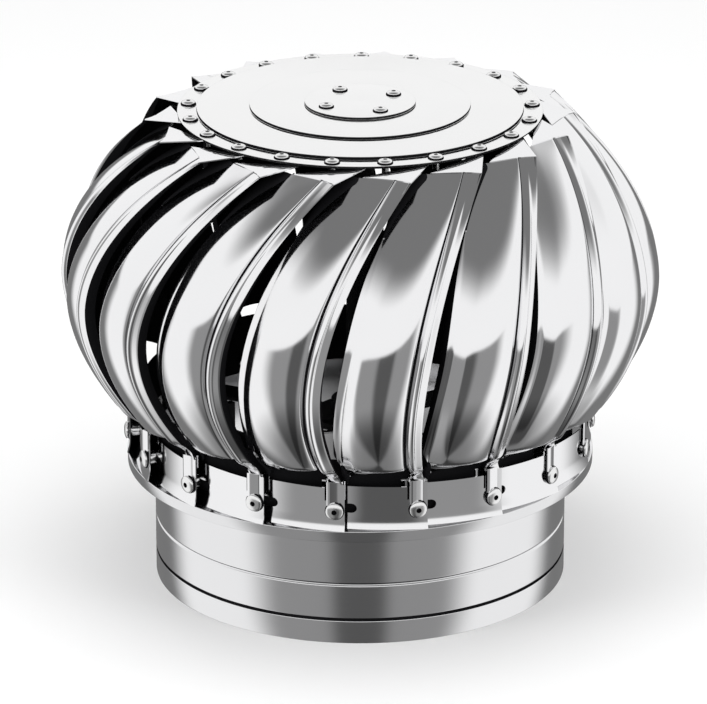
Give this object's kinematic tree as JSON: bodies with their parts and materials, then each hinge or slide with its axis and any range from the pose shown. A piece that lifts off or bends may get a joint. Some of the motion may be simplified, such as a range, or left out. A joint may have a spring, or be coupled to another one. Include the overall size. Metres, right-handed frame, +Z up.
{
  "type": "roof turbine ventilator",
  "caption": "Wind-driven roof ventilator: a globe of curved overlapping blades under a stepped cap, turning on sealed bearings above a beaded throat collar.",
  "frame": {"origin": "centre of the collar's bottom rim, where it meets the roof duct", "axes": "+Z up along the spindle, out of the duct; the front of the ventilator faces -Y"},
  "size_m": [0.4308, 0.4298, 0.3596],
  "materials": {
    "polished_blade": "mirror-polished stainless steel sheet",
    "polished_cap": "bright polished stainless steel sheet",
    "collar_sheet": "satin stainless steel sheet",
    "ring_sheet": "bright rolled stainless steel sheet",
    "fastener_steel": "bright stainless fasteners",
    "frame_steel": "mill-finish steel bar",
    "bearing_steel": "ground bearing steel"
  },
  "bodies": {
    "base": {"base_collar": "collar_sheet", "lower_throat_bar": "frame_steel", "upper_throat_bar": "frame_steel", "spindle": "frame_steel", "spindle_washers": "fastener_steel", "spindle_nuts": "fastener_steel", "set_collar": "fastener_steel", "spacer_tube": "frame_steel", "lower_bearing_inner": "bearing_steel", "upper_bearing_inner": "bearing_steel", "lock_nut": "fastener_steel"},
    "rotor": {"blade_01": "polished_blade", "blade_02": "polished_blade", "blade_03": "polished_blade", "blade_04": "polished_blade", "blade_05": "polished_blade", "blade_06": "polished_blade", "blade_07": "polished_blade", "blade_08": "polished_blade", "blade_09": "polished_blade", "blade_10": "polished_blade", "blade_11": "polished_blade", "blade_12": "polished_blade", "blade_13": "polished_blade", "blade_14": "polished_blade", "blade_15": "polished_blade", "blade_16": "polished_blade", "blade_17": "polished_blade", "blade_18": "polished_blade", "lower_ring": "ring_sheet", "foot_screws": "fastener_steel", "foot_spacers": "fastener_steel", "foot_nuts": "fastener_steel", "upper_ring": "ring_sheet", "top_cap": "polished_cap", "cap_screws": "fastener_steel", "hub_cover": "polished_cap", "hub_screws": "fastener_steel", "hub_nuts": "fastener_steel", "upper_bearing_housing": "frame_steel", "upper_bearing_outer": "bearing_steel", "upper_bearing_circlip": "fastener_steel", "rotor_spider": "frame_steel", "lower_bearing_housing": "frame_steel", "lower_bearing_outer": "bearing_steel", "housing_rivets": "fastener_steel"}
  },
  "joints": [
    {"name": "rotor_spin", "type": "hinge", "parent": "base", "child": "rotor", "pos_m": [0, 0, 0.125], "axis": [0, 0, 1], "continuous": true}
  ]
}
